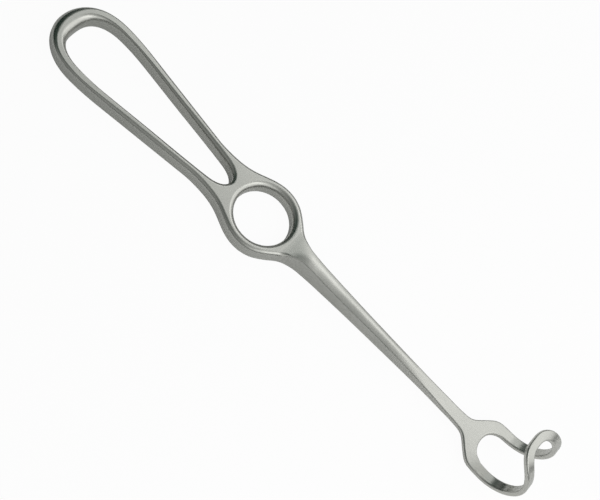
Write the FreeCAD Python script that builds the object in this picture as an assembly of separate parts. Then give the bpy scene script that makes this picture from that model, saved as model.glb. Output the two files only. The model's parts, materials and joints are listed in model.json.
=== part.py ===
import FreeCAD, Part
import math
import os

# Hand retractor: one drop forging, worked here as its natural sections.
# Units are millimetres. The drawing frame has its origin in the middle of the
# finger ring, +X toward the blade, +Z the side that the hook rises to. Each
# section is moved to the lying frame just before it is written.

# Finger ring. Its middle is the origin.
RING_BORE_D = 21.0
RING_WALL = 3.65
RING_BORE_R = RING_BORE_D / 2.0
RING_OUT_R = RING_BORE_R + RING_WALL
RING_BORE_FILLET = 0.52 * RING_WALL
RING_CROTCH_X = -0.2615 * RING_OUT_R
RING_ROOT_X = 0.4028 * RING_OUT_R
WEB_CUT_X = 0.81 * RING_CROTCH_X

# Lengths along X
HANDLE_L = 95.47
SHANK_L = 68.1
FLARE_L = 16.9
BOW_END_X = -HANDLE_L
ROOT_SPLIT_X = RING_OUT_R - 1.35
SHANK_START_X = ROOT_SPLIT_X + 13.2
NECK_START_X = SHANK_START_X + 0.852 * SHANK_L
NECK_END_X = SHANK_START_X + SHANK_L
FORK_START_X = NECK_END_X + 0.4675 * FLARE_L
ARM_START_X = NECK_END_X + FLARE_L

# Handle loop
HANDLE_T = 6.0
RAIL_W = 3.08
BOW_OUT_L = 17.47
BOW_IN_L = 20.87
BOW_OUT_X = BOW_END_X + BOW_OUT_L
BOW_OUT_Y = 14.2
BOW_OUT_POWER = 2.08
BOW_APEX_W = 6.9
BOW_IN_X = BOW_END_X + BOW_IN_L
BOW_IN_Y = BOW_OUT_Y - RAIL_W - 0.14
BOW_IN_POWER = 2.6
RAIL_BEND_L = 13.4
RAIL_OUT_R = 1.4
RAIL_IN_R = 1.0
BOW_OUT_FRONT_R = 3.3
BOW_OUT_BACK_R = RAIL_OUT_R
BOW_IN_FRONT_R = 2.8
BOW_IN_BACK_R = 1.2
BOW_SPLIT_X = BOW_OUT_X + 4.0

# Crotch between the rails and the ring
CROTCH_SPLIT_X = -RING_OUT_R - 14.41
CROTCH_HOLE_X = -RING_OUT_R - 1.63
CROTCH_Y = 8.6
WAIST_Y = 8.35
CROTCH_HOLE_EDGE_R = 1.5
RAIL_SLOPE = (BOW_OUT_Y - CROTCH_Y) / (CROTCH_SPLIT_X - BOW_OUT_X - RAIL_BEND_L / 2)
RING_T = HANDLE_T
PLATE_EDGE_R = min(RAIL_OUT_R, 0.39 * RING_WALL)

# Shank
ROOT_T = 7.84
SHANK_MID_T = 5.3
SHANK_END_T = 3.04
NECK_T = 2.08
SHANK_ROOT_Y = 2.69
SHANK_MID_Y = 2.02
NECK_Y = 2.68
SHANK_EDGE_R = 0.45
SHANK_CROWN = 0.40

# Blade loop
BAND_T = 1.84
BAND_Z = -0.28
BAND_EDGE_R = 0.55
HOOK_A = 11.47
HOOK_B = 11.97
HOOK_START_X = ARM_START_X + 0.62
HOOK_END_X = HOOK_START_X + HOOK_A + BAND_T / 2.0
BLADE_OUT_Y = 10.82
BLADE_IN_Y = 7.10
BLADE_OUT_S = 1.5 * HOOK_A
BLADE_IN_S = 1.517 * HOOK_A
BLADE_OUT_K = 0.0006
BLADE_IN_K = 0.0018
BLADE_POWER = 2.85
BLADE_TIP_S = 0.973 * math.pi * (HOOK_A + HOOK_B) / 2
BLADE_TIP_W = 3.17
TIP_SPLIT_Z = BAND_Z + 1.4 * HOOK_B
FENESTRA_L = 6.4
FENESTRA_APEX_X = ARM_START_X - FENESTRA_L


V = FreeCAD.Vector
Z = V(0, 0, 1)


def hermite(points, slope0=None, slope1=None, steady=False):
    """Smooth function through (x, y) points. A steady one never swings past a point."""
    xs = [p[0] for p in points]
    ys = [p[1] for p in points]
    n = len(xs)
    d = [0.0] * n
    for i in range(1, n - 1):
        h0 = xs[i] - xs[i - 1]
        h1 = xs[i + 1] - xs[i]
        s0 = (ys[i] - ys[i - 1]) / h0
        s1 = (ys[i + 1] - ys[i]) / h1
        d[i] = (s0 * h1 + s1 * h0) / (h0 + h1)
        if steady:
            limit = 3 * min(abs(s0), abs(s1)) if s0 * s1 > 0 else 0.0
            d[i] = math.copysign(min(abs(d[i]), limit), d[i])
    d[0] = slope0 if slope0 is not None else (ys[1] - ys[0]) / (xs[1] - xs[0])
    d[-1] = slope1 if slope1 is not None else (ys[-1] - ys[-2]) / (xs[-1] - xs[-2])

    def value(x):
        """Height of the curve at x, straight on beyond either end."""
        if x <= xs[0]:
            return ys[0] + d[0] * (x - xs[0])
        if x >= xs[-1]:
            return ys[-1] + d[-1] * (x - xs[-1])
        i = max(j for j in range(n - 1) if xs[j] <= x)
        h = xs[i + 1] - xs[i]
        t = (x - xs[i]) / h
        return ((2 * t**3 - 3 * t**2 + 1) * ys[i] + (t**3 - 2 * t**2 + t) * h * d[i]
                + (3 * t**2 - 2 * t**3) * ys[i + 1] + (t**3 - t**2) * h * d[i + 1])

    return value


def slope_of(f, x, step=0.01):
    """Slope of a function at x."""
    return (f(x + step) - f(x - step)) / (2 * step)


def smooth(t):
    """0 to 1 with level ends."""
    t = min(max(t, 0.0), 1.0)
    return t * t * (3 - 2 * t)


def bezier(points, weights):
    """Edge along weighted poles: a quarter round or a shallow curve."""
    c = Part.BezierCurve()
    c.setPoles(points)
    for i, w in enumerate(weights):
        c.setWeight(i + 1, w)
    return c.toShape()


def section(centre, across, up, half_w, half_t, radii, crown=0.0, stretch=1.0):
    """Closed cross-section with four rounded corners and crowned faces.

    radii: plus side up, plus side down, minus side down, minus side up.
    stretch widens the corners where the outline crosses the section askew.
    """
    def at(u, w):
        """Point of the section's plane."""
        return centre + across * u + up * w

    def top(u):
        """Height of the crowned face above the middle."""
        return half_t + crown * (1.0 - (u / half_w) ** 2)

    def top_slope(u):
        """Slope of the crowned face."""
        return -2.0 * crown * u / half_w ** 2

    pu, pd, md, mu = radii

    def corner(side, vertical, r):
        """Three poles of a rounded corner, from the face to the wall."""
        ru = min(r * stretch, half_w * 0.9)
        u0 = half_w - ru
        z0 = top(u0)
        zc = z0 + top_slope(u0) * ru
        z1 = zc - r
        return [(side * u0, vertical * z0), (side * half_w, vertical * zc),
                (side * half_w, vertical * z1)]

    c1 = corner(1, 1, pu)
    c2 = corner(1, -1, pd)
    c3 = corner(-1, -1, md)
    c4 = corner(-1, 1, mu)

    def span(a, b, vertical):
        """Poles of a crowned face from a to b, the middle one where the end tangents meet."""
        ua, ub = a[0], b[0]
        um = 0.5 * (ua + ub)
        zm = vertical * (top(ua) + top_slope(ua) * (um - ua))
        return [a, (um, zm), b]

    def wall(a, b):
        """Poles of a straight wall."""
        return [a, ((a[0] + b[0]) / 2, (a[1] + b[1]) / 2), b]

    strips = [c1, wall(c1[2], c2[2]), c2[::-1], span(c2[0], c3[0], -1),
              c3, wall(c3[2], c4[2]), c4[::-1], span(c4[0], c1[0], 1)]
    return [[at(*p) for p in strip] for strip in strips]


CORNER = (1.0, math.sqrt(0.5), 1.0)
PLAIN = (1.0, 1.0, 1.0)
STRIP_WEIGHTS = (CORNER, PLAIN, CORNER, PLAIN, CORNER, PLAIN, CORNER, PLAIN)


def skin(sections, first=0, last=-1):
    """Solid through the sections: eight smooth strips and two flat ends.

    Only the stretch from section first to section last is closed into the solid,
    so stretches of one row of sections share their end faces.
    """
    last = last % len(sections)
    mids = []
    for sec in sections:
        m = V(0, 0, 0)
        for strip in sec:
            m = m + strip[0] * 0.125
        mids.append(m)
    params = [0.0]
    for a, b in zip(mids, mids[1:]):
        params.append(params[-1] + (b - a).Length)
    params = [p / params[-1] for p in params]
    faces = []
    for k, weights in enumerate(STRIP_WEIGHTS):
        rows = []
        for j in range(3):
            c = Part.BSplineCurve()
            c.interpolate(Points=[sec[k][j] for sec in sections], Parameters=params)
            rows.append(c)
        ref = rows[0]
        surf = Part.BSplineSurface()
        surf.buildFromPolesMultsKnots([c.getPoles() for c in rows], [3, 3], ref.getMultiplicities(),
                                      [0.0, 1.0], ref.getKnots(), False, False, 2, ref.Degree,
                                      [[w] * ref.NbPoles for w in weights])
        if last - first < len(sections) - 1:
            surf.segment(0.0, 1.0, params[first], params[last])
        faces.append(surf.toShape())
    for sec in (sections[first], sections[last]):
        faces.append(Part.Face(Part.Wire([bezier(p, w) for p, w in zip(sec, STRIP_WEIGHTS)])))
    shell = Part.makeShell(faces)
    shell.sewShape()
    solid = Part.Solid(shell)
    if solid.Volume < 0:
        solid.reverse()
    return solid


def box(x0, x1, y0, y1, z0, z1):
    """Block between two corners."""
    return Part.makeBox(x1 - x0, y1 - y0, z1 - z0, FreeCAD.Vector(x0, y0, z0))


# Handle loop: outer and inner plan curves of the half with +Y
def rail_drop(d):
    """How far the outer curve has come in, d past the widest point."""
    if d <= 0:
        return 0.0
    if d < RAIL_BEND_L:
        return RAIL_SLOPE * d * d / (2 * RAIL_BEND_L)
    return RAIL_SLOPE * (d - RAIL_BEND_L / 2)


def rail_out_y(x):
    """Outer half-width of the loop along its rails."""
    return BOW_OUT_Y - rail_drop(x - BOW_OUT_X)


def rail_in_y(x):
    """Inner half-width of the loop along its rails."""
    return rail_out_y(x) - RAIL_W


def mix(a, b, k):
    """From a at k = 0 to b at k = 1."""
    return a + (b - a) * k


def handle_station(i, n_bow, n_rail):
    """Outer point, inner point and the four corner radii of a loop section."""
    apex_x = BOW_END_X + BOW_APEX_W
    if i <= n_bow:
        a = math.pi / 2 * i / n_bow
        c, s = math.cos(a), math.sin(a)
        xo = BOW_OUT_X - (BOW_OUT_X - BOW_END_X) * c ** (2 / BOW_OUT_POWER)
        yo = BOW_OUT_Y * s ** (2 / BOW_OUT_POWER)
        xi = BOW_IN_X - (BOW_IN_X - apex_x) * c ** (2 / BOW_IN_POWER)
        yi = BOW_IN_Y * s ** (2 / BOW_IN_POWER)
        early, late = smooth(1.35 * i / n_bow), smooth((i / n_bow - 0.15) / 0.85)
        radii = (mix(BOW_OUT_FRONT_R, RAIL_OUT_R, early), mix(BOW_OUT_BACK_R, RAIL_OUT_R, early),
                 mix(BOW_IN_BACK_R, RAIL_IN_R, late), mix(BOW_IN_FRONT_R, RAIL_IN_R, late))
        return V(xo, yo, 0), V(xi, yi, 0), radii
    t = (i - n_bow) / n_rail
    xo = BOW_OUT_X + (CROTCH_SPLIT_X - BOW_OUT_X) * t
    lead = (BOW_IN_X - BOW_OUT_X) * (1 - smooth(t * 2.0))
    xi = xo + lead
    inner = mix(RAIL_IN_R, CROTCH_HOLE_EDGE_R, smooth(2.0 * t - 1.0))
    return V(xo, rail_out_y(xo), 0), V(xi, rail_in_y(xi), 0), (RAIL_OUT_R, RAIL_OUT_R, inner, inner)


def handle_blank():
    """Whole handle loop from one end of its rails round the bow to the other."""
    n_bow, n_rail = 9, 7
    wires = []
    for j in range(-(n_bow + n_rail), n_bow + n_rail + 1):
        o, i, radii = handle_station(abs(j), n_bow, n_rail)
        if j < 0:
            o, i = V(o.x, -o.y, 0), V(i.x, -i.y, 0)
        mid = (o + i) * 0.5
        across = (o - i).normalize()
        half_w = (o - i).Length / 2
        wires.append(section(mid, across, Z, half_w, HANDLE_T / 2, radii))
    return skin(wires)


# Plate of crotch, ring and shank root, and the shank's outline: halves with +Y
def ring_y(x):
    """Half-width of the ring's outer circle."""
    return math.sqrt(RING_OUT_R ** 2 - x * x)


def blade_out_y(s):
    """Outer half-width of the blade loop, s along the band from where the hook starts."""
    return BLADE_OUT_Y - BLADE_OUT_K * (BLADE_OUT_S - s) ** 2


def blade_in_y(s):
    """Inner half-width of the blade loop."""
    return BLADE_IN_Y - BLADE_IN_K * (BLADE_IN_S - s) ** 2


ARM_S = ARM_START_X - HOOK_START_X
ARM_OUT_SLOPE = 2 * BLADE_OUT_K * (BLADE_OUT_S - ARM_S)
ARM_IN_SLOPE = 2 * BLADE_IN_K * (BLADE_IN_S - ARM_S)
RING_CROTCH_SLOPE = -RING_CROTCH_X / ring_y(RING_CROTCH_X)
RING_ROOT_SLOPE = -RING_ROOT_X / ring_y(RING_ROOT_X)

CROTCH_OUT = [(CROTCH_SPLIT_X, rail_out_y(CROTCH_SPLIT_X)), (-RING_OUT_R - 9.45, WAIST_Y)]
CROTCH_OUT += [(x, mix(WAIST_Y, ring_y(RING_CROTCH_X), k)) for x, k in (
    (-RING_OUT_R - 6.05, 0.0245), (-RING_OUT_R - 2.65, 0.0998), (-0.947 * RING_OUT_R, 0.2638),
    (-0.7138 * RING_OUT_R, 0.5181), (-0.4806 * RING_OUT_R, 0.8045), (RING_CROTCH_X, 1.0))]
CROTCH_HOLE = [(CROTCH_SPLIT_X, rail_in_y(CROTCH_SPLIT_X)), (CROTCH_HOLE_X - 7.72, WAIST_Y - 3.55),
               (CROTCH_HOLE_X - 4.42, WAIST_Y - 4.2), (CROTCH_HOLE_X - 2.82, WAIST_Y - 4.85),
               (CROTCH_HOLE_X - 1.22, WAIST_Y - 5.95), (CROTCH_HOLE_X - 0.37, WAIST_Y - 7.1)]
ROOT_OUT = [(RING_ROOT_X, ring_y(RING_ROOT_X)), (RING_OUT_R - 4.05, ring_y(RING_OUT_R - 4.05) + 0.04),
            (RING_OUT_R - 2.35, ring_y(RING_OUT_R - 2.35) + 0.57)]
ROOT_OUT += [(RING_OUT_R + x, SHANK_ROOT_Y + y) for x, y in (
    (-0.75, 4.17), (0.95, 2.61), (2.65, 1.51), (4.35, 0.81), (6.05, 0.39), (9.35, 0.09))]
SHANK_OUT = [(0.013, 1.0), (0.112, 0.866), (0.21, 0.597), (0.308, 0.358), (0.507, 0.06), (0.605, 0.0)]
NECK_OUT = [(0.703, 0.06), (0.802, 0.273), (0.902, 0.606), (1.0, 1.0)]
FLARE_OUT = [(0.136, 0.034), (0.26, 0.141), (0.3964, 0.4176), (0.497, 0.6378), (0.5976, 0.8328),
             (0.6923, 0.9397), (0.8107, 0.9837), (1.0, 1.0)]
SHANK_LINE = (ROOT_OUT
              + [(SHANK_START_X + f * SHANK_L, mix(SHANK_MID_Y, SHANK_ROOT_Y, k)) for f, k in SHANK_OUT]
              + [(SHANK_START_X + f * SHANK_L, mix(SHANK_MID_Y, NECK_Y, k)) for f, k in NECK_OUT]
              + [(NECK_END_X + f * FLARE_L, mix(NECK_Y, blade_out_y(ARM_S), k)) for f, k in FLARE_OUT])
FENESTRA = [(FENESTRA_APEX_X + f * FENESTRA_L, k * blade_in_y(ARM_S)) for f, k in (
    (1.0, 1.0), (0.703, 0.9593), (0.453, 0.8518), (0.234, 0.683), (0.0703, 0.4067))]
shank_y = hermite(SHANK_LINE, RING_ROOT_SLOPE, ARM_OUT_SLOPE)
crotch_y = hermite(CROTCH_OUT, -RAIL_SLOPE, RING_CROTCH_SLOPE)

HALF_T = [(ROOT_SPLIT_X, RING_T / 2), (ROOT_SPLIT_X + 2.2, mix(RING_T, ROOT_T, 0.36) / 2),
          (ROOT_SPLIT_X + 4.8, mix(RING_T, ROOT_T, 0.8) / 2), (ROOT_SPLIT_X + 7.7, ROOT_T / 2),
          (ROOT_SPLIT_X + 10.2, mix(ROOT_T, SHANK_MID_T, 0.08) / 2),
          (ROOT_SPLIT_X + 12.4, mix(ROOT_T, SHANK_MID_T, 0.24) / 2)]
HALF_T += [(SHANK_START_X + f * SHANK_L, t / 2) for f, t in (
    (0.112, mix(ROOT_T, SHANK_MID_T, 0.67)), (0.358, SHANK_MID_T),
    (0.605, mix(SHANK_MID_T, SHANK_END_T, 0.4)), (0.802, SHANK_END_T), (0.975, NECK_T))]
HALF_T += [(FORK_START_X - 2, BAND_T / 2), (ARM_START_X, BAND_T / 2)]
half_t_at = hermite(HALF_T, 0.0, 0.0, True)
MID_Z = [(SHANK_START_X + f * SHANK_L, k * BAND_Z) for f, k in ((0.605, 0.0), (0.802, 0.21), (0.975, 0.77))]
MID_Z += [(FORK_START_X - 2, BAND_Z), (ARM_START_X, BAND_Z)]
mid_z_at = hermite(MID_Z, 0.0, 0.0, True)
CROWN = [(ROOT_SPLIT_X, 0.0), (ROOT_SPLIT_X + 8.2, SHANK_CROWN), (SHANK_START_X + 0.5 * SHANK_L, SHANK_CROWN),
         (SHANK_START_X + 0.91 * SHANK_L, 0.3 * SHANK_CROWN), (NECK_END_X + 0.17 * FLARE_L, 0.0),
         (ARM_START_X, 0.0)]
crown_at = hermite(CROWN, 0.0, 0.0, True)
EDGE = [(ROOT_SPLIT_X, PLATE_EDGE_R), (ROOT_SPLIT_X + 4.7, SHANK_EDGE_R),
        (SHANK_START_X + 0.94 * SHANK_L, SHANK_EDGE_R), (NECK_END_X + 0.23 * FLARE_L, BAND_EDGE_R),
        (ARM_START_X, BAND_EDGE_R)]
edge_at = hermite(EDGE, 0.0, 0.0, True)


def curve_through(points, t0=None, t1=None):
    """Smooth edge through points, with end directions if given."""
    c = Part.BSplineCurve()
    if t0 is not None:
        c.interpolate(Points=points, InitialTangent=t0, FinalTangent=t1)
    else:
        c.interpolate(Points=points)
    return c.toShape()


def plate_blank():
    """Flat plate of crotch, ring and root with its rounded edges."""
    z0 = -RING_T / 2
    x_rail = CROTCH_SPLIT_X - 4.0
    x_root = ROOT_SPLIT_X + 3.0

    def half(sign):
        """Outline of one side, from the rail through the ring to the root."""
        out = []
        a = V(x_rail, sign * rail_out_y(x_rail), z0)
        b = V(CROTCH_SPLIT_X, sign * rail_out_y(CROTCH_SPLIT_X), z0)
        xs = [mix(CROTCH_SPLIT_X, RING_CROTCH_X, k / 10.0) for k in range(11)]
        pts = [V(x, sign * crotch_y(x), z0) for x in xs]
        out.append(Part.makeLine(a, b))
        out.append(curve_through(pts, V(1, -sign * RAIL_SLOPE, 0),
                                 V(1, sign * RING_CROTCH_SLOPE, 0)))
        p0 = V(RING_CROTCH_X, sign * ring_y(RING_CROTCH_X), z0)
        p1 = V(RING_ROOT_X, sign * ring_y(RING_ROOT_X), z0)
        out.append(Part.Arc(p0, V(0, sign * RING_OUT_R, z0), p1).toShape())
        xs = [mix(RING_ROOT_X, x_root, k / 6.0) for k in range(7)]
        pts = [V(x, sign * shank_y(x), z0) for x in xs]
        out.append(curve_through(pts, V(1, sign * RING_ROOT_SLOPE, 0),
                                 V(1, sign * slope_of(shank_y, x_root), 0)))
        return out

    # inner hole: rails, then the rounded end at the crotch
    apex = V(CROTCH_HOLE_X, 0, z0)
    hole = []
    a = V(x_rail, rail_in_y(x_rail), z0)
    b = V(CROTCH_SPLIT_X, rail_in_y(CROTCH_SPLIT_X), z0)
    hole.append(Part.makeLine(a, b))
    pts = ([V(x, y, z0) for x, y in CROTCH_HOLE] + [apex]
           + [V(x, -y, z0) for x, y in reversed(CROTCH_HOLE)])
    hole.append(curve_through(pts, V(1, -RAIL_SLOPE, 0), V(-1, -RAIL_SLOPE, 0)))
    hole.append(Part.makeLine(V(b.x, -b.y, z0), V(a.x, -a.y, z0)))

    up = half(1)
    dn = half(-1)
    y_root = shank_y(x_root)
    ends = [Part.makeLine(V(x_rail, rail_out_y(x_rail), z0), V(x_rail, rail_in_y(x_rail), z0)),
            Part.makeLine(V(x_rail, -rail_out_y(x_rail), z0), V(x_rail, -rail_in_y(x_rail), z0)),
            Part.makeLine(V(x_root, y_root, z0), V(x_root, -y_root, z0))]
    order = Part.__sortEdges__(up + dn + ends + hole)
    face = Part.Face(Part.Wire(order))
    solid = face.extrude(V(0, 0, RING_T))
    bore = Part.makeCylinder(RING_BORE_R, RING_T + 2, V(0, 0, z0 - 1))
    solid = solid.cut(bore)

    def pick(test):
        """Edges round the two flat faces that pass a test."""
        sel = []
        for e in solid.Edges:
            m = e.valueAt(0.5 * (e.FirstParameter + e.LastParameter))
            flat = all(abs(abs(v.Point.z) - RING_T / 2) < 1e-6 for v in e.Vertexes)
            if flat and abs(abs(m.z) - RING_T / 2) < 1e-6 and test(e, m):
                sel.append(e)
        return sel

    def is_end(m):
        """On one of the plate's two cut ends."""
        return abs(m.x - x_rail) < 1e-6 or abs(m.x - x_root) < 1e-6

    def outer(e, m):
        """On the outline."""
        return not is_end(m) and abs(math.hypot(m.x, m.y) - RING_BORE_R) > 0.3 and not inner(e, m)

    def inner(e, m):
        """On the hole between the rails."""
        if is_end(m) or m.x > CROTCH_HOLE_X + 1.0:
            return False
        return abs(m.y) < rail_in_y(m.x) + 0.3

    def bore_rim(e, m):
        """On the finger ring's bore."""
        return abs(math.hypot(m.x, m.y) - RING_BORE_R) < 0.05

    solid = solid.makeFillet(RING_BORE_FILLET, pick(bore_rim))
    solid = solid.makeFillet(CROTCH_HOLE_EDGE_R, pick(inner))
    solid = solid.makeFillet(PLATE_EDGE_R, pick(outer))
    return solid


def shank_sections():
    """Cross-sections of root, crowned shank and neck, with their places along X."""
    xs = [ROOT_SPLIT_X + d for d in (-3.2, -2.2, -1.1, 0.0, 1.1, 2.2, 3.4, 4.7, 6.2, 8.0, 10.2)]
    xs += [SHANK_START_X + f * SHANK_L for f in (0.0, 0.059, 0.147, 0.264, 0.382, 0.499, 0.602, 0.705, 0.79)]
    xs += [NECK_START_X, SHANK_START_X + 0.91 * SHANK_L, SHANK_START_X + 0.962 * SHANK_L]
    xs += [NECK_END_X + f * FLARE_L for f in (0.024, 0.142, 0.231, 0.308, 0.385)] + [FORK_START_X]
    xs += [FORK_START_X + d for d in (1.1, 2.2)]
    sections = []
    for x in xs:
        y = shank_y(x)
        m = slope_of(shank_y, x)
        r = edge_at(x)
        sections.append(section(V(x, 0, mid_z_at(x)), V(0, 1, 0), Z, y, half_t_at(x),
                                (r, r, r, r), crown_at(x), math.sqrt(1 + m * m)))
    return xs, sections


def fork_blank():
    """Flat plate that opens into the two arms."""
    z0 = BAND_Z - BAND_T / 2
    x0 = FORK_START_X - 1.5
    x1 = ARM_START_X + 1.5
    out = []
    for sign in (1, -1):
        xs = [x0 + (x1 - x0) * k / 12.0 for k in range(13)]
        pts = []
        for x in xs:
            y = shank_y(x) if x < ARM_START_X else blade_out_y(x - HOOK_START_X)
            pts.append(V(x, sign * y, z0))
        out.append(curve_through(pts))
    pts = ([V(x, y, z0) for x, y in FENESTRA] + [V(FENESTRA_APEX_X, 0, z0)]
           + [V(x, -y, z0) for x, y in reversed(FENESTRA)])
    out.append(curve_through(pts, V(-1, -ARM_IN_SLOPE, 0), V(1, -ARM_IN_SLOPE, 0)))
    yi0 = blade_in_y(ARM_S)
    yi1 = yi0 + ARM_IN_SLOPE * (x1 - ARM_START_X)
    for sign in (1, -1):
        out.append(Part.makeLine(V(ARM_START_X, sign * yi0, z0), V(x1, sign * yi1, z0)))
    yo0 = shank_y(x0)
    yo1 = blade_out_y(x1 - HOOK_START_X)
    out.append(Part.makeLine(V(x0, yo0, z0), V(x0, -yo0, z0)))
    out.append(Part.makeLine(V(x1, yo1, z0), V(x1, yi1, z0)))
    out.append(Part.makeLine(V(x1, -yo1, z0), V(x1, -yi1, z0)))
    face = Part.Face(Part.Wire(Part.__sortEdges__(out)))
    solid = face.extrude(V(0, 0, BAND_T))
    sel = []
    for e in solid.Edges:
        m = e.valueAt(0.5 * (e.FirstParameter + e.LastParameter))
        if abs(abs(m.z - BAND_Z) - BAND_T / 2) < 1e-6 and abs(m.x - x0) > 1e-6 and abs(m.x - x1) > 1e-6:
            sel.append(e)
    return solid.makeFillet(BAND_EDGE_R, sel)


# Blade loop: the flat oval outline wrapped round the hook
def arc_table():
    """Length along the hook's ellipse against its angle."""
    n = 720
    rows = [(0.0, 0.0)]
    s = 0.0
    for i in range(1, n + 1):
        t = math.pi * 1.15 * (i - 0.5) / n
        s += math.hypot(HOOK_A * math.cos(t), HOOK_B * math.sin(t)) * math.pi * 1.15 / n
        rows.append((s, math.pi * 1.15 * i / n))
    return rows


ARC = arc_table()


def hook_angle(s):
    """Angle of the hook's ellipse at length s."""
    if s <= 0:
        return 0.0
    lo, hi = 0, len(ARC) - 1
    while hi - lo > 1:
        mid = (lo + hi) // 2
        if ARC[mid][0] < s:
            lo = mid
        else:
            hi = mid
    a, b = ARC[lo], ARC[hi]
    return a[1] + (b[1] - a[1]) * (s - a[0]) / (b[0] - a[0])


def on_hook(s, y):
    """Point on the hook's middle surface and its normal, toward the inside."""
    if s <= 0:
        return V(HOOK_START_X + s, y, BAND_Z), V(0, 0, 1)
    t = hook_angle(s)
    p = V(HOOK_START_X + HOOK_A * math.sin(t), y, BAND_Z + HOOK_B * (1 - math.cos(t)))
    n = V(-HOOK_B * math.sin(t), 0, HOOK_A * math.cos(t)).normalize()
    return p, n


def blade_blank():
    """Both arms and the closed tip as one band."""
    stations = []
    for k in range(4):
        s = mix(ARM_S - 2.0, 0.0, k / 4.0)
        stations.append((s, blade_out_y(s), s, blade_in_y(s)))
    for k in range(5):
        t = k / 5.0
        so, si = BLADE_OUT_S * t, BLADE_IN_S * t
        stations.append((so, blade_out_y(so), si, blade_in_y(si)))
    n = 12
    half = []
    for k in range(n + 1):
        a = math.pi / 2 * k / n
        c, s = math.cos(a), math.sin(a)
        half.append((BLADE_OUT_S + (BLADE_TIP_S - BLADE_OUT_S) * s ** (2 / BLADE_POWER),
                     BLADE_OUT_Y * c ** (2 / BLADE_POWER),
                     BLADE_IN_S + (BLADE_TIP_S - BLADE_TIP_W - BLADE_IN_S) * s ** (2 / BLADE_POWER),
                     BLADE_IN_Y * c ** (2 / BLADE_POWER)))
    stations += half
    loop = stations + [(so, -yo, si, -yi) for so, yo, si, yi in reversed(stations[:-1])]
    wires = []
    for so, yo, si, yi in loop:
        po, _ = on_hook(so, yo)
        pi, _ = on_hook(si, yi)
        pm, nm = on_hook(0.5 * (so + si), 0.5 * (yo + yi))
        w = (po - pi)
        across = w.normalize()
        up = (nm - across * nm.dot(across)).normalize()
        half_w = (po - pi).Length / 2
        r = BAND_EDGE_R
        wires.append(section(pm, across, up, half_w, BAND_T / 2, (r, r, r, r)))
    return skin(wires)


def main():
    """Cut the sections from their blanks and write each one."""
    os.makedirs("parts", exist_ok=True)
    handle = handle_blank()
    plate = plate_blank()
    xs, shank = shank_sections()
    root_i, shank_i, neck_i, fork_i = (
        xs.index(x) for x in (ROOT_SPLIT_X, SHANK_START_X, NECK_START_X, FORK_START_X))
    fork = fork_blank()
    blade = blade_blank()

    far = 200.0
    drum = Part.makeCylinder(RING_OUT_R, 4 * RING_T, V(0, 0, -2 * RING_T))
    nodes = {}
    nodes["handle_bow"] = handle.common(box(-far, BOW_SPLIT_X, -far, far, -far, far))
    rails = handle.common(box(BOW_SPLIT_X, 0, -far, far, -far, far)).Solids
    rails.sort(key=lambda s: s.CenterOfMass.y)
    nodes["handle_rail_right"], nodes["handle_rail_left"] = rails
    crotch_side = box(CROTCH_SPLIT_X, WEB_CUT_X, -far, far, -far, far).cut(drum)
    nodes["handle_crotch"] = plate.common(crotch_side)
    ring = plate.common(box(-RING_OUT_R - 1.0, ROOT_SPLIT_X, -far, far, -far, far))
    nodes["finger_ring"] = ring.cut(box(-far, WEB_CUT_X, -far, far, -far, far).cut(drum))
    nodes["shank_root"] = skin(shank, root_i, shank_i)
    nodes["shank"] = skin(shank, shank_i, neck_i)
    nodes["blade_neck"] = skin(shank, neck_i, fork_i)
    nodes["blade_fork"] = fork.common(box(FORK_START_X, ARM_START_X, -far, far, -far, far))
    low = box(ARM_START_X, far, 0, far, -far, TIP_SPLIT_Z)
    nodes["blade_arm_left"] = blade.common(low)
    nodes["blade_arm_right"] = blade.common(box(ARM_START_X, far, -far, 0, -far, TIP_SPLIT_Z))
    nodes["blade_tip"] = blade.common(box(ARM_START_X, far, -far, far, TIP_SPLIT_Z, far))

    low_z = min(s.optimalBoundingBox().ZMin for s in nodes.values())
    shift = V(-0.5 * (BOW_END_X + HOOK_END_X), 0, -low_z)
    for name, shape in nodes.items():
        solids = shape.Solids
        if len(solids) != 1:
            print(name, "has", len(solids), "solids", [round(s.Volume, 3) for s in solids])
        piece = max(solids, key=lambda s: s.Volume).copy()
        piece.translate(shift)
        bb = piece.optimalBoundingBox()
        print("%-18s vol %8.2f valid %s faces %d  x %.2f..%.2f y %.2f..%.2f z %.2f..%.2f" % (
            name, piece.Volume, piece.isValid(), len(piece.Faces), bb.XMin, bb.XMax, bb.YMin, bb.YMax,
            bb.ZMin, bb.ZMax))
        piece.exportStep("parts/%s.step" % name)
    print("shift", shift)


main()
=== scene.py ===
import json
import logging
import math
from dataclasses import dataclass
from enum import Enum
from typing import Any, Union

import bpy
from mathutils import Matrix, Vector

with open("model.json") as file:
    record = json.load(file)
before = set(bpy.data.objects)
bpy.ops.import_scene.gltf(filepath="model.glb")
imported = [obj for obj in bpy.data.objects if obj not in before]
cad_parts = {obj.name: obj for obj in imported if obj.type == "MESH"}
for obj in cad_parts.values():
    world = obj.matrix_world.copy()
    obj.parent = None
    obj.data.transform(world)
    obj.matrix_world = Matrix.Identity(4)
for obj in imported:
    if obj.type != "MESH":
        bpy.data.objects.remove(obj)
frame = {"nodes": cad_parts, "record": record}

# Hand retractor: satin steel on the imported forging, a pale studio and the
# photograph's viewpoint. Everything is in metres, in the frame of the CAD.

LOG = logging.getLogger("hand_retractor")
MM = 0.001

Value = Union[float, "Signal"]


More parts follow.
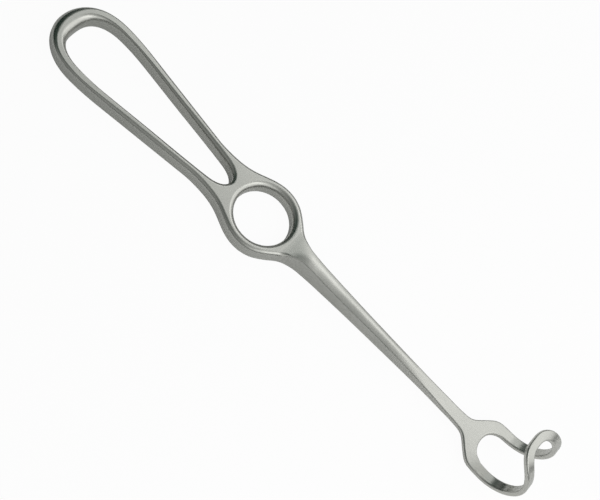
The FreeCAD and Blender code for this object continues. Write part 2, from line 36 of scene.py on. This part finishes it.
class Signal:
    """A shader socket that takes part in Python arithmetic."""

    def __init__(self, graph: "Graph", socket: bpy.types.NodeSocket) -> None:
        """Wrap a socket of a graph.

        Args:
            graph: the node graph that holds the socket.
            socket: the output that carries the value.
        """
        self.graph = graph
        self.socket = socket

    def _math(self, operation: str, first: Value, second: Value) -> "Signal":
        """Add one Math node.

        Args:
            operation: the Math node's operation.
            first: its first operand.
            second: its second operand.

        Returns:
            The node's result.
        """
        return self.graph.node("ShaderNodeMath", {"operation": operation}, {0: first, 1: second})

    def __add__(self, other: Value) -> "Signal":
        """Sum."""
        return self._math("ADD", self, other)

    def __radd__(self, other: Value) -> "Signal":
        """Sum with the signal on the right."""
        return self._math("ADD", other, self)

    def __sub__(self, other: Value) -> "Signal":
        """Difference."""
        return self._math("SUBTRACT", self, other)

    def __rsub__(self, other: Value) -> "Signal":
        """Difference with the signal on the right."""
        return self._math("SUBTRACT", other, self)

    def __mul__(self, other: Value) -> "Signal":
        """Product."""
        return self._math("MULTIPLY", self, other)

    def __rmul__(self, other: Value) -> "Signal":
        """Product with the signal on the right."""
        return self._math("MULTIPLY", other, self)

    def __truediv__(self, other: Value) -> "Signal":
        """Quotient."""
        return self._math("DIVIDE", self, other)

    def __rtruediv__(self, other: Value) -> "Signal":
        """Quotient with the signal on the right."""
        return self._math("DIVIDE", other, self)

    def __pow__(self, other: Value) -> "Signal":
        """Power."""
        return self._math("POWER", self, other)


class Graph:
    """The node tree of one material or world."""

    def __init__(self, tree: bpy.types.NodeTree) -> None:
        """Start from an empty tree.

        Args:
            tree: the tree to fill.
        """
        self.tree = tree
        tree.nodes.clear()

    def node(
        self,
        kind: str,
        settings: dict[str, Any] | None = None,
        inputs: dict[Union[int, str], Any] | None = None,
        output: Union[int, str] = 0,
    ) -> Signal:
        """Add a node of any type.

        Args:
            kind: the node's type name.
            settings: its properties, set before its sockets.
            inputs: a number, colour or signal for each socket, by index or name.
            output: which output to hand back.

        Returns:
            The chosen output.
        """
        made = self.tree.nodes.new(kind)
        for name, value in (settings or {}).items():
            setattr(made, name, value)
        for key, value in (inputs or {}).items():
            socket = made.inputs[key]
            if isinstance(value, Signal):
                self.tree.links.new(value.socket, socket)
            else:
                socket.default_value = value
        return Signal(self, made.outputs[output] if made.outputs else None)

    def smooth_step(self, value: Signal, low: float, high: float) -> Signal:
        """Rise smoothly from 0 at low to 1 at high.

        Args:
            value: the signal that rises.
            low: where the result leaves 0.
            high: where it reaches 1.

        Returns:
            The stepped signal.
        """
        return self.node(
            "ShaderNodeMapRange",
            {"interpolation_type": "SMOOTHSTEP"},
            {"Value": value, "From Min": low, "From Max": high},
        )


def new_material(name: str) -> tuple[bpy.types.Material, Graph]:
    """Make a material with an empty node tree.

    Args:
        name: the material's name.

    Returns:
        The material and its graph.
    """
    material = bpy.data.materials.new(name)
    material.use_nodes = True
    return material, Graph(material.node_tree)


def ring_bore_centre() -> Vector:
    """Give the middle of the finger ring's bore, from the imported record."""
    bore = next(mount for mount in frame["record"]["mounts"] if mount["name"] == "ring_bore")
    return Vector(bore["pos_m"])


class Grain(Enum):
    """Which way the grinding belt ran over a section."""

    ALONG = "along the instrument"
    ROUND_RING = "round the finger ring"
    ROUND_BOW = "round the handle's bow"
    ROUND_HOOK = "round the blade's hook"


@dataclass(frozen=True)
class SatinSteel:
    """Belt-ground and glass-beaded stainless steel."""

    colour: tuple[float, float, float] = (0.60, 0.60, 0.565)
    cloud_colour: tuple[float, float, float] = (0.53, 0.535, 0.500)
    cloud_pitch: float = 14.0 * MM
    cloud_range: tuple[float, float] = (0.42, 0.78)
    cloud_share: float = 0.5
    cloud_roughness: float = 0.06
    streak_pitch: float = 0.22 * MM
    streak_length: float = 9.0 * MM
    streak_range: tuple[float, float] = (0.5, 0.85)
    streak_share: float = 0.35
    streak_roughness: float = 0.07
    turned_radius: float = 14.0 * MM
    bead_pitch: float = 0.25 * MM
    bead_relief: float = 0.12
    roughness: float = 0.28
    bump_depth: float = 0.0018 * MM

    def dress(self, piece: bpy.types.Object, grain: Grain, centre: Vector) -> None:
        """Give a piece this finish.

        Args:
            piece: the object to dress.
            grain: the direction of the grinding streaks.
            centre: the middle of the ring, bow or hook that they run round.
        """
        material, graph = new_material(f"satin_steel_{piece.name}")
        place = graph.node("ShaderNodeTexCoord", output="Object")
        streaks = self._streaks(graph, place, grain, centre)
        beads = graph.node(
            "ShaderNodeTexNoise", {"noise_dimensions": "3D"},
            {"Vector": place, "Scale": 1.0 / self.bead_pitch, "Detail": 1.0, "Roughness": 0.5},
        )
        clouds = graph.node(
            "ShaderNodeTexNoise", {"noise_dimensions": "3D"},
            {"Vector": place, "Scale": 1.0 / self.cloud_pitch, "Detail": 3.0, "Roughness": 0.55},
        )
        cloudy = graph.smooth_step(clouds, *self.cloud_range) * self.cloud_share
        streaky = graph.smooth_step(streaks, *self.streak_range) * self.streak_share
        colour = graph.node(
            "ShaderNodeMix", {"data_type": "RGBA"},
            {"Factor": cloudy + streaky, "A": (*self.colour, 1.0), "B": (*self.cloud_colour, 1.0)},
            output="Result",
        )
        uneven = (streaks - 0.5) * self.streak_roughness + (clouds - 0.5) * self.cloud_roughness
        relief = streaks * (1.0 - self.bead_relief) + beads * self.bead_relief
        normal = graph.node(
            "ShaderNodeBump", {},
            {"Strength": 1.0, "Distance": self.bump_depth, "Height": relief},
            output="Normal",
        )
        shader = graph.node(
            "ShaderNodeBsdfPrincipled", {},
            {"Base Color": colour, "Metallic": 1.0, "Roughness": uneven + self.roughness, "Normal": normal},
        )
        graph.node("ShaderNodeOutputMaterial", {}, {"Surface": shader})
        piece.data.materials.clear()
        piece.data.materials.append(material)

    def _streaks(self, graph: Graph, place: Signal, grain: Grain, centre: Vector) -> Signal:
        """Noise drawn out along the grinding direction.

        Args:
            graph: the material's graph.
            place: the point on the piece.
            grain: the direction of the streaks.
            centre: what the streaks run round, if anything.

        Returns:
            A value about 0.5, streaked.
        """
        fine = 1.0 / self.streak_pitch
        long = 1.0 / self.streak_length
        if grain is Grain.ALONG:
            stretched = graph.node(
                "ShaderNodeVectorMath", {"operation": "MULTIPLY"}, {0: place, 1: (long, fine, fine)}
            )
            return graph.node(
                "ShaderNodeTexNoise", {"noise_dimensions": "3D"},
                {"Vector": stretched, "Scale": 1.0, "Detail": 2.0, "Roughness": 0.6},
            )
        offset = graph.node("ShaderNodeVectorMath", {"operation": "SUBTRACT"}, {0: place, 1: centre})
        x, y, z = (graph.node("ShaderNodeSeparateXYZ", {}, {0: offset}, output=axis) for axis in "XYZ")
        across, side = (z, y) if grain is Grain.ROUND_HOOK else (y, z)
        radius = (x * x + across * across) ** 0.5
        reach = self.turned_radius * long
        turned = graph.node(
            "ShaderNodeCombineXYZ", {},
            {0: x / radius * reach, 1: across / radius * reach, 2: radius * fine},
        )
        return graph.node(
            "ShaderNodeTexNoise", {"noise_dimensions": "4D"},
            {"Vector": turned, "W": side * fine, "Scale": 1.0, "Detail": 2.0, "Roughness": 0.6},
        )


@dataclass(frozen=True)
class Section:
    """One section of the forging and how it was ground."""

    node: str
    grain: Grain


@dataclass
class Stretch:
    """A stretch of the forging that is dressed section by section."""

    finish: SatinSteel
    sections: tuple[Section, ...] = ()

    def centre(self) -> Vector:
        """Give the middle that the turned streaks run round."""
        return ring_bore_centre()

    def build(self) -> None:
        """Dress every section of the stretch."""
        for section in self.sections:
            piece = frame["nodes"][section.node]
            self.finish.dress(piece, section.grain, self.centre())
            LOG.info("%s: satin steel, ground %s", section.node, section.grain.value)


@dataclass
class Handle(Stretch):
    """Teardrop loop: its bow, two rails and the web where they join."""

    bow_from_ring: float = 78.0 * MM
    sections: tuple[Section, ...] = (
        Section("handle_bow", Grain.ROUND_BOW),
        Section("handle_rail_left", Grain.ALONG),
        Section("handle_rail_right", Grain.ALONG),
        Section("handle_crotch", Grain.ALONG),
    )

    def centre(self) -> Vector:
        """Give the middle of the bow."""
        return ring_bore_centre() - Vector((self.bow_from_ring, 0.0, 0.0))


@dataclass
class FingerRing(Stretch):
    """Round ring between the handle and the shank."""

    sections: tuple[Section, ...] = (Section("finger_ring", Grain.ROUND_RING),)


@dataclass
class Shank(Stretch):
    """Tapering shank, from its root at the ring to the thin neck."""

    sections: tuple[Section, ...] = (
        Section("shank_root", Grain.ALONG),
        Section("shank", Grain.ALONG),
        Section("blade_neck", Grain.ALONG),
    )


@dataclass
class Blade(Stretch):
    """Open oval blade, bent back into a hook."""

    hook_from_ring: float = 111.62 * MM
    hook_above_ring: float = 11.68 * MM
    sections: tuple[Section, ...] = (
        Section("blade_fork", Grain.ALONG),
        Section("blade_arm_left", Grain.ROUND_HOOK),
        Section("blade_arm_right", Grain.ROUND_HOOK),
        Section("blade_tip", Grain.ROUND_HOOK),
    )

    def centre(self) -> Vector:
        """Give the middle of the hook."""
        return ring_bore_centre() + Vector((self.hook_from_ring, 0.0, self.hook_above_ring))


@dataclass
class PaleFloor:
    """Pale floor that turns up into a cove far from the object.

    Its paint is darker at the handle's end than at the blade's, over the length of the object: painted
    shade, for the metal to mirror a darker floor there.
    """

    near_radius: float = 0.4
    flat_radius: float = 2.6
    cove_radius: float = 1.2
    rim_height: float = 2.0
    segments: int = 96
    cove_steps: int = 16
    colour: tuple[float, float, float] = (0.70, 0.70, 0.70)
    # painted shade: the floor's colour at the handle's end
    painted_shade_colour: tuple[float, float, float] = (0.42, 0.43, 0.425)
    grade_reach: float = 0.13
    seen_white: float = 0.96
    mirrored_white: float = 0.10

    def build(self) -> bpy.types.Object:
        """Make the floor.

        Returns:
            The floor.
        """
        profile = [(0.0, 0.0), (self.near_radius, 0.0), (self.flat_radius, 0.0)]
        for step in range(1, self.cove_steps + 1):
            angle = math.pi / 2 * step / self.cove_steps
            profile.append((
                self.flat_radius + self.cove_radius * math.sin(angle),
                self.cove_radius * (1.0 - math.cos(angle)),
            ))
        profile.append((self.flat_radius + self.cove_radius, self.rim_height))
        points = [(0.0, 0.0, 0.0)]
        for radius, height in profile[1:]:
            for k in range(self.segments):
                turn = math.tau * k / self.segments
                points.append((radius * math.cos(turn), radius * math.sin(turn), height))
        faces = [(0, 1 + k, 1 + (k + 1) % self.segments) for k in range(self.segments)]
        for row in range(len(profile) - 2):
            low, high = 1 + row * self.segments, 1 + (row + 1) * self.segments
            for k in range(self.segments):
                n = (k + 1) % self.segments
                faces.append((low + k, high + k, high + n, low + n))
        mesh = bpy.data.meshes.new("studio_floor")
        mesh.from_pydata(points, [], faces)
        mesh.polygons.foreach_set("use_smooth", [True] * len(faces))
        mesh.update()
        floor = bpy.data.objects.new("studio_floor", mesh)
        bpy.context.scene.collection.objects.link(floor)
        floor.data.materials.append(self._paint())
        LOG.info("studio floor, %.1f m across", 2 * (self.flat_radius + self.cove_radius))
        return floor

    def _paint(self) -> bpy.types.Material:
        """Matt paint with painted shade graded along the object, darker at the handle's end, that the camera
        and the metal see whiter.

        Returns:
            The floor's material.
        """
        material, graph = new_material("pale_paint")
        seen = graph.node("ShaderNodeLightPath", output="Is Camera Ray")
        mirrored = graph.node("ShaderNodeLightPath", output="Is Glossy Ray")
        through = graph.node("ShaderNodeLightPath", output="Is Transmission Ray")
        place = graph.node("ShaderNodeTexCoord", output="Object")
        along = graph.node("ShaderNodeSeparateXYZ", {}, {0: place}, output="X")
        # painted shade: the paint darkens towards the handle's end, where the metal mirrors it
        graded = graph.node(
            "ShaderNodeMix", {"data_type": "RGBA"},
            {"Factor": graph.smooth_step(along, -self.grade_reach, self.grade_reach),
             "A": (*self.painted_shade_colour, 1.0), "B": (*self.colour, 1.0)}, output="Result",
        )
        paint = graph.node("ShaderNodeBsdfDiffuse", {}, {"Color": graded})
        white = graph.node("ShaderNodeEmission", {}, {"Color": (1.0, 1.0, 1.0, 1.0), "Strength": 1.0})
        mixed = graph.node(
            "ShaderNodeMixShader", {},
            {0: seen * self.seen_white + (mirrored + through) * self.mirrored_white, 1: paint, 2: white},
        )
        graph.node("ShaderNodeOutputMaterial", {}, {"Surface": mixed})
        return material


@dataclass(frozen=True)
class SoftBox:
    """An oblong soft light that points at the object; wide and high are the angles that it fills."""

    name: str
    azimuth: float
    elevation: float
    wide: float
    high: float
    radiance: float
    distance: float = 1.6
    mirrored: bool = True

    def build(self) -> bpy.types.Object:
        """Hang the light.

        Returns:
            The light's object.
        """
        lamp = bpy.data.lights.new(self.name, "AREA")
        lamp.shape = "RECTANGLE"
        lamp.size = 2 * self.distance * math.tan(math.radians(self.wide / 2))
        lamp.size_y = 2 * self.distance * math.tan(math.radians(self.high / 2))
        lamp.energy = self.radiance * math.pi * lamp.size * lamp.size_y
        box = bpy.data.objects.new(self.name, lamp)
        turn, rise = math.radians(self.azimuth), math.radians(self.elevation)
        towards = Vector((math.cos(turn) * math.cos(rise), math.sin(turn) * math.cos(rise), math.sin(rise)))
        box.location = towards * self.distance
        box.rotation_mode = "QUATERNION"
        box.rotation_quaternion = towards.to_track_quat("Z", "Y")
        box.visible_glossy = self.mirrored
        bpy.context.scene.collection.objects.link(box)
        LOG.info("soft box %s, radiance %.2f", self.name, self.radiance)
        return box


STUDIO_LIGHTS = (
    SoftBox("key", azimuth=29, elevation=41, wide=72, high=54, radiance=0.74),
    SoftBox("back", azimuth=104, elevation=47, wide=40, high=28, radiance=0.80),
    SoftBox("side", azimuth=-40, elevation=44, wide=36, high=40, radiance=0.45),
    SoftBox("top", azimuth=40, elevation=76, wide=50, high=24, radiance=0.20),
    SoftBox("lamp", azimuth=22, elevation=60, wide=26, high=18, radiance=0.60),
    SoftBox("fill", azimuth=-30, elevation=55, wide=40, high=40, radiance=2.7, distance=1.2, mirrored=False),
)


@dataclass(frozen=True)
class DarkCard:
    """Dark card on the floor beyond the handle, which only the metal mirrors: painted shade, seen only as a
    dark reflection in the steel.
    """

    reach: float = 0.35
    low_y: float = -0.20
    high_y: float = 0.35
    height: float = 0.15
    # painted shade: the green-black that the steel mirrors beyond the handle
    colour: tuple[float, float, float] = (0.015, 0.035, 0.026)

    def build(self) -> bpy.types.Object:
        """Stand the card up.

        Returns:
            The card.
        """
        corners = [
            (-self.reach, self.low_y, 0.0), (-self.reach, self.high_y, 0.0),
            (-self.reach, self.high_y, self.height), (-self.reach, self.low_y, self.height),
        ]
        mesh = bpy.data.meshes.new("dark_card")
        mesh.from_pydata(corners, [], [(0, 1, 2, 3)])
        card = bpy.data.objects.new("dark_card", mesh)
        material, graph = new_material("mirrored_shade_card")
        paint = graph.node("ShaderNodeBsdfDiffuse", {}, {"Color": (*self.colour, 1.0)})
        graph.node("ShaderNodeOutputMaterial", {}, {"Surface": paint})
        mesh.materials.append(material)
        # hidden from all but glossy rays, so it is only a painted dark reflection
        card.visible_camera = card.visible_diffuse = card.visible_shadow = False
        bpy.context.scene.collection.objects.link(card)
        LOG.info("dark card %.2f m from the object's middle", self.reach)
        return card


@dataclass
class Surroundings:
    """Dim, even room that is darker and greener beyond the handle."""

    tint: tuple[float, float, float] = (0.97, 1.0, 0.975)
    dark_tint: tuple[float, float, float] = (0.50, 1.0, 0.76)
    level: float = 0.36
    dark_level: float = 0.03
    dark_falloff: float = 2.2
    tint_falloff: float = 4.0
    dark_towards: tuple[float, float, float] = (-0.684, 0.290, 0.669)

    def build(self) -> None:
        """Set the scene's world."""
        world = bpy.data.worlds.new("room")
        world.use_nodes = True
        graph = Graph(world.node_tree)
        direction = graph.node("ShaderNodeTexCoord", output="Generated")
        facing = graph.node(
            "ShaderNodeVectorMath", {"operation": "DOT_PRODUCT"},
            {0: direction, 1: Vector(self.dark_towards).normalized()}, output="Value",
        )
        ahead = graph.node("ShaderNodeMath", {"operation": "MAXIMUM"}, {0: facing, 1: 0.0})
        shade = ahead ** self.dark_falloff
        strength = shade * (self.dark_level - self.level) + self.level
        colour = graph.node(
            "ShaderNodeMix", {"data_type": "RGBA"},
            {"Factor": shade ** self.tint_falloff, "A": (*self.tint, 1.0), "B": (*self.dark_tint, 1.0)},
            output="Result",
        )
        light = graph.node("ShaderNodeBackground", {}, {"Color": colour, "Strength": strength})
        graph.node("ShaderNodeOutputWorld", {}, {"Surface": light})
        bpy.context.scene.world = world
        LOG.info("surroundings, level %.2f", self.level)


@dataclass
class Viewpoint:
    """The photograph's camera."""

    aim: Vector
    distance: float = 0.504
    tilt: float = 31.0
    roll: float = 45.35
    lens: float = 90.0
    film: float = 36.0

    def build(self) -> bpy.types.Object:
        """Set up the camera and make it the scene's.

        Returns:
            The camera's object.
        """
        tilt, roll = math.radians(self.tilt), math.radians(self.roll)
        back = Vector((0.0, -math.sin(tilt), math.cos(tilt)))
        level = Vector((1.0, 0.0, 0.0))
        rise = back.cross(level)
        right = level * math.cos(roll) + rise * math.sin(roll)
        up = rise * math.cos(roll) - level * math.sin(roll)
        camera = bpy.data.objects.new("viewpoint", bpy.data.cameras.new("viewpoint"))
        camera.data.lens, camera.data.sensor_width = self.lens, self.film
        camera.data.clip_start = 0.01
        placed = Matrix((right, up, back)).transposed().to_4x4()
        placed.translation = self.aim + back * self.distance
        camera.matrix_world = placed
        bpy.context.scene.collection.objects.link(camera)
        bpy.context.scene.camera = camera
        LOG.info("viewpoint %.0f mm from the object", self.distance / MM)
        return camera


def main() -> None:
    """Build the scene in order."""
    logging.basicConfig(level=logging.INFO, format="%(message)s")
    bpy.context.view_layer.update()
    bpy.context.scene.view_settings.view_transform = "Standard"
    Viewpoint(aim=Vector((2.395, 2.0, 4.318)) * MM).build()
    PaleFloor().build()
    Surroundings().build()
    for light in STUDIO_LIGHTS:
        light.build()
    DarkCard().build()
    finish = SatinSteel()
    for stretch in (Handle(finish), FingerRing(finish), Shank(finish), Blade(finish)):
        stretch.build()


if __name__ == "__main__":
    main()
